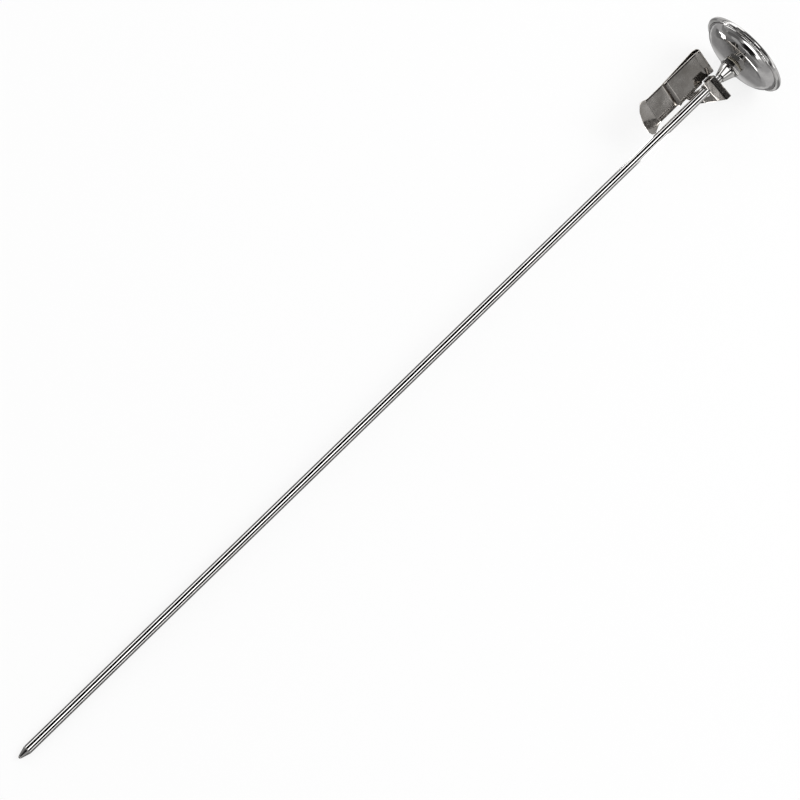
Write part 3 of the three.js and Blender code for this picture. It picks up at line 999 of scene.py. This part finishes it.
# ---- All the pieces ----
def build_stem():
    piece("stem_tube_fine", stem_tube(), "polished_steel", "probe", "stem_tube")
    piece("stem_tip_fine", stem_tip(), "turned_steel", "probe", "stem_tip")
    piece("coil_anchor_fine", coil_anchor(), "brass", "probe", "coil_anchor")
    piece("bimetal_coil_fine", bimetal_coil(), "bimetal", "probe", "bimetal_coil")
    for where, height in GUIDES.items():
        name = f"shaft_guide_{where}"
        piece(f"{name}_fine", shaft_guide(height), "nylon", "probe", name)


def build_neck():
    piece("stem_ferrule_fine", stem_ferrule(), "turned_steel", "probe", "stem_ferrule")
    piece(
        "hex_collar_fine", hex_collar(), "turned_steel", "probe", "hex_collar", sharp=25
    )
    piece("friction_washer_fine", friction_washer(), "nylon", "probe", "friction_washer")
    piece(
        "retaining_ring_fine", retaining_ring(), "spring_steel", "probe", "retaining_ring"
    )


def build_head():
    piece("case_back_fine", case_back(), "polished_case", "head", "case_back")
    piece("bezel_ring_fine", bezel_ring(), "satin_steel", "head", "bezel_ring")
    piece("window_gasket_fine", window_gasket(), "seal_rubber", "head", "window_gasket")
    piece("window_fine", window_pane(), "glass", "head", "window")
    piece("dial_spacer_fine", dial_spacer(), "satin_steel", "head", "dial_spacer")
    piece("dial_plate_fine", dial_plate(), "dial_white", "head", "dial_plate")


def build_print():
    high = DIAL_FACE + INK
    for name, ink, start, end in (
        ("print_band_blue", "ink_blue", 80, 100),
        ("print_band_green", "ink_green", 100, 130),
        ("print_band_red", "ink_red", 130, 160),
    ):
        piece(name, arc_band(SCALE_INNER, SCALE_OUTER, start, end, INK_LOW, high), ink, "head")
    piece("print_scale", scale_print(), "ink_black", "head")
    piece("print_roundel_sky", roundel_slice(HORIZON, ROUNDEL_RADIUS), "ink_sky", "head")
    piece("print_roundel_field", roundel_slice(-ROUNDEL_RADIUS, HORIZON), "ink_field", "head")
    piece("print_roundel_line", roundel_line(), "ink_black", "head")


def build_movement():
    piece("coil_collar_fine", coil_collar(), "brass", "movement", "coil_collar")
    piece("drive_shaft_fine", drive_shaft(), "spring_steel", "movement", "drive_shaft")
    for name, shape, look in (
        ("pointer", pointer_blade(), "black_paint"),
        ("pointer_hub", pointer_hub(), "black_paint"),
        ("pointer_cap", pointer_cap(), "white_plastic"),
    ):
        piece(f"{name}_fine", shape, look, "movement", name, POINTER)


def build_clip():
    piece(
        "clip_spring_fine", clip_spring(), "spring_steel", "clip", "clip_spring", CLIP, 30
    )


# ---- The stage: floor, light and camera ----
# What polished steel shows is what is round it, so reflections have a studio of their own: a dark
# room with white cards. The eye and matt surfaces see a plain pale room instead.
PALE = 0.93


def by_ray(tree, eye, matt, mirror):
    """eye for rays from the camera, matt for rays from matt surfaces, and mirror for the others."""
    path = node(tree, "LightPath").outputs
    first = node(tree, "Mix", Factor=path["Is Diffuse Ray"], A=mirror, B=matt).outputs["Result"]
    return node(tree, "Mix", Factor=path["Is Camera Ray"], A=first, B=eye).outputs["Result"]


def curve(tree, value, low, high, stops):
    """A curve through (place, height) stops, with places from low to high."""
    place = node(tree, "MapRange", Value=value, From_Min=low, From_Max=high).outputs["Result"]
    ramp = node(tree, "ValToRGB", Fac=place)
    elements = ramp.color_ramp.elements
    while len(elements) < len(stops):
        elements.new(0.5)
    for element, (at, height) in zip(elements, stops):
        element.position = (at - low) / (high - low)
        element.color = (height, height, height, 1)
    return ramp.outputs["Color"]


def math_node(tree, operation, a, b=0.0):
    return node(tree, "Math", {"operation": operation}, _0=a, _1=b).outputs["Value"]


def dot(tree, direction, way):
    made = node(tree, "VectorMath", {"operation": "DOT_PRODUCT"}, _0=direction, _1=tuple(way))
    return made.outputs["Value"]


def zone(tree, base, value, low, high, soft, inside, span):
    """inside where value is between low and high, base elsewhere, with soft edges."""
    stops = [(low - soft, 0), (low + soft, 1), (high - soft, 1), (high + soft, 0)]
    share = curve(tree, value, *span, [stop for stop in stops if span[0] <= stop[0] <= span[1]])
    return node(tree, "Mix", Factor=share, A=base, B=inside).outputs["Result"]


# What the floor shows in polished steel, by its distance along the stem: a painted reflection in three
# strips, from the right of the stem to its left, with a bright painted highlight and painted shadows.
FLOOR_SPAN = (-0.3, 0.3)
FLOOR_SPLIT = -0.026  # the Y between the right and the middle strip
# The end of each strip: a painted shadow under the head's rim, then mid grey beyond it.
FLOOR_HEAD_SHADOW = [(0.2515, 0.03), (0.262, 0.03), (0.27, 0.5)]
FLOOR_RIGHT = [(-0.3, 0.3), (0.17, 0.3), (0.2, 0.42), (0.249, 0.45), *FLOOR_HEAD_SHADOW]
# The middle strip, under the stem: a painted shadow of the stem, with a bright painted highlight strip.
FLOOR_MIDDLE = [(-0.06, 1.2), (-0.03, 0.04), (0.184, 0.02), (0.187, 7), (0.203, 7), (0.206, 0.02)]
FLOOR_MIDDLE += [(0.225, 0.02), (0.231, 0.2), (0.244, 0.22), (0.248, 0.6), (0.25, 0.6), *FLOOR_HEAD_SHADOW]
FLOOR_LEFT = [(-0.3, 0.1), (0.14, 0.1), (0.17, 0.33), (0.249, 0.33), *FLOOR_HEAD_SHADOW]
# Round the stem the floor is painted dark for polished steel, a painted shadow of the stem: in a narrow
# strip up to the clip and in a wider one that ends sooner. Each is (right edge, left edge, where it
# ends along the stem, softness).
STEM_SHADOW_STRIPS = [(-0.04, 0.03, 0.184, 0.004), (-0.1, 0.08, 0.12, 0.01)]


def build_floor():
    """A floor that glows: pale to the eye, and a painted reflection with painted shadows to polished
    steel.
    """
    size = 30
    corners = [(-size, -size, 0), (size, -size, 0), (size, size, 0), (-size, size, 0)]
    mesh = bpy.data.meshes.new("floor")
    mesh.from_pydata(corners, [], [(0, 1, 2, 3)])
    floor = add_object("floor", mesh, Matrix.Identity(4))
    material, tree, shader = new_material("floor")
    shader.inputs["Base Color"].default_value = (0.16, 0.16, 0.16, 1)
    shader.inputs["Roughness"].default_value = 0.9
    shader.inputs["Specular IOR Level"].default_value = 0.0
    place = node(tree, "SeparateXYZ", Vector=object_place(tree)).outputs
    right, middle, left = (
        curve(tree, place["X"], *FLOOR_SPAN, stops) for stops in (FLOOR_RIGHT, FLOOR_MIDDLE, FLOOR_LEFT)
    )
    painted_reflection_and_shadow = zone(tree, left, place["Y"], -0.3, FLOOR_SPLIT, 0.004, right, FLOOR_SPAN)
    painted_reflection_and_shadow = zone(tree, painted_reflection_and_shadow, place["Y"], FLOOR_SPLIT, 0.08, 0.004, middle, FLOOR_SPAN)
    for strip_right, strip_left, end, soft in STEM_SHADOW_STRIPS:
        # A painted shadow of the stem on the floor, which only polished steel sees.
        dark = zone(tree, painted_reflection_and_shadow, place["Y"], strip_right, strip_left, soft, 0.02, FLOOR_SPAN)
        painted_reflection_and_shadow = zone(tree, painted_reflection_and_shadow, place["X"], -0.3, end, soft, dark, FLOOR_SPAN)
    # The floor glows: an even pale for the eye, and the painted reflection and painted shadows for
    # polished steel.
    tree.links.new(by_ray(tree, PALE - 0.12, 0.7, painted_reflection_and_shadow), shader.inputs["Emission Strength"])
    shader.inputs["Emission Color"].default_value = (1, 1, 1, 1)
    mesh.materials.append(material)


# The studio that polished steel shows: bands of directions by their lean along the stem, from
# straight out of its side towards the head, and in each band the brightness by the turn round the
# stem, from straight up towards -Y. Each band is (lowest lean, highest lean, softness, brightness).
TURN_SPAN = (-180, 180)
LEAN_SPAN = (-90, 90)
ABOVE_HEAD = [(-120, 0.4), (-84, 0.7), (-76, 1.6), (-40, 1.6), (-32, 0.2), (-22, 0.1), (58, 0.1)]
ABOVE_HEAD += [(66, 0.5), (80, 1.2)]
BESIDE_HEAD = [(-110, 0.6), (-82, 0.7), (-76, 1.8), (-50, 1.8), (-44, 0.02), (60, 0.01), (70, 0.4)]
BESIDE_HEAD += [(100, 0.35)]
BESIDE_STEM = [(-104, 0.01), (-74, 0.01), (-70, 2.2), (-51, 2.2), (-47, 0), (7, 0), (11, 3.2)]
BESIDE_STEM += [(26, 3.2), (29, 0), (64, 0), (66, 0.2), (74, 0.3), (77, 0.02), (80, 2.4), (96, 2.4)]
BESIDE_STEM += [(100, 0.01)]
BELOW_HEAD = [(-110, 0.45), (-84, 0.4), (-60, 0.06), (-30, 0.03), (-20, 1.8), (22, 1.8), (29, 0.02)]
BELOW_HEAD += [(47, 0.02), (51, 1.8), (63, 1.8), (67, 0.02), (79, 0.02), (86, 0.35), (110, 0.35)]
UNDER_RIM = [(-110, 0.4), (-50, 0.2), (-20, 0.05), (0, 0.01), (30, 0.02), (36, 0.35), (60, 0.45)]
UNDER_RIM += [(90, 0.45)]
LOW_CARD = [(-110, 0.15), (-42, 0.15), (-24, 0.4), (-14, 3), (54, 3), (64, 0.6), (90, 0.4)]
LOW_GAP = [(-110, 0.3), (-80, 0.5), (-60, 0.5), (-45, 0.2), (-24, 0.03), (0, 0.01), (50, 0.02)]
LOW_GAP += [(70, 0.25), (110, 0.3)]
END_CARD = [(-180, 1.4), (180, 1.4)]
STUDIO = [
    (27, 90, 2, ABOVE_HEAD),
    (18, 27, 0.1, BESIDE_HEAD),
    (-1.5, 18, 0.1, BESIDE_STEM),
    (-17, -1.5, 0.5, BESIDE_HEAD),
    (-24, -17, 0.5, BELOW_HEAD),
    (-38, -24, 0.5, UNDER_RIM),
    (-56, -38, 1, LOW_CARD),
    (-80, -56, 1, LOW_GAP),
]


def build_world():
    """The studio that polished steel shows, and a plain pale room for the eye and matt surfaces."""
    world = bpy.data.worlds.new("studio")
    bpy.context.scene.world = world
    world.use_nodes = True
    tree = world.node_tree
    background = tree.nodes["Background"]
    direction = node(tree, "TexCoord").outputs["Generated"]
    lean = math_node(tree, "ARCSINE", dot(tree, direction, ALONG))
    turn = math_node(tree, "ARCTAN2", dot(tree, direction, -THREE), dot(tree, direction, TWELVE))
    lean = math_node(tree, "DEGREES", lean)
    turn = math_node(tree, "DEGREES", turn)
    studio = curve(tree, turn, *TURN_SPAN, END_CARD)
    for low, high, soft, stops in STUDIO:
        band = curve(tree, turn, *TURN_SPAN, stops)
        studio = zone(tree, studio, lean, low, high, soft, band, LEAN_SPAN)
    tree.links.new(by_ray(tree, PALE, 0.75, studio), background.inputs["Strength"])
    background.inputs["Color"].default_value = (1, 1, 1, 1)


def build_lights():
    """One large soft box above and to the left, which matt surfaces alone see."""
    light = bpy.data.lights.new("soft_box", "AREA")
    light.size = 1.2
    light.energy = 25
    lamp = bpy.data.objects.new("soft_box", light)
    bpy.context.scene.collection.objects.link(lamp)
    lamp.location = (1.4, -0.9, 1.7)
    lamp.rotation_euler = (-Vector(lamp.location)).to_track_quat("-Z", "Y").to_euler()
    lamp.visible_camera = False
    lamp.visible_glossy = False


def build_camera():
    """The camera looks down on the thermometer from beyond the stem's tip."""
    azimuth, elevation = 0.787, -1.272
    distance = 1.508
    target = Vector((-0.0021, -0.0068, 0.025))
    level = math.cos(elevation)
    way = Vector((level * math.cos(azimuth), level * math.sin(azimuth), math.sin(elevation)))
    camera_data = bpy.data.cameras.new("camera")
    camera_data.lens = 136.2
    camera_data.sensor_width = 36
    camera_data.clip_start = 0.05
    camera_data.clip_end = 100
    camera = bpy.data.objects.new("camera", camera_data)
    bpy.context.scene.collection.objects.link(camera)
    camera.location = target - way * distance
    camera.rotation_euler = way.to_track_quat("-Z", "Y").to_euler()
    bpy.context.scene.camera = camera


build_camera()
build_stem()
build_neck()
build_head()
build_print()
build_movement()
build_clip()
build_floor()
build_world()
build_lights()
bpy.context.scene.view_settings.view_transform = "Standard"
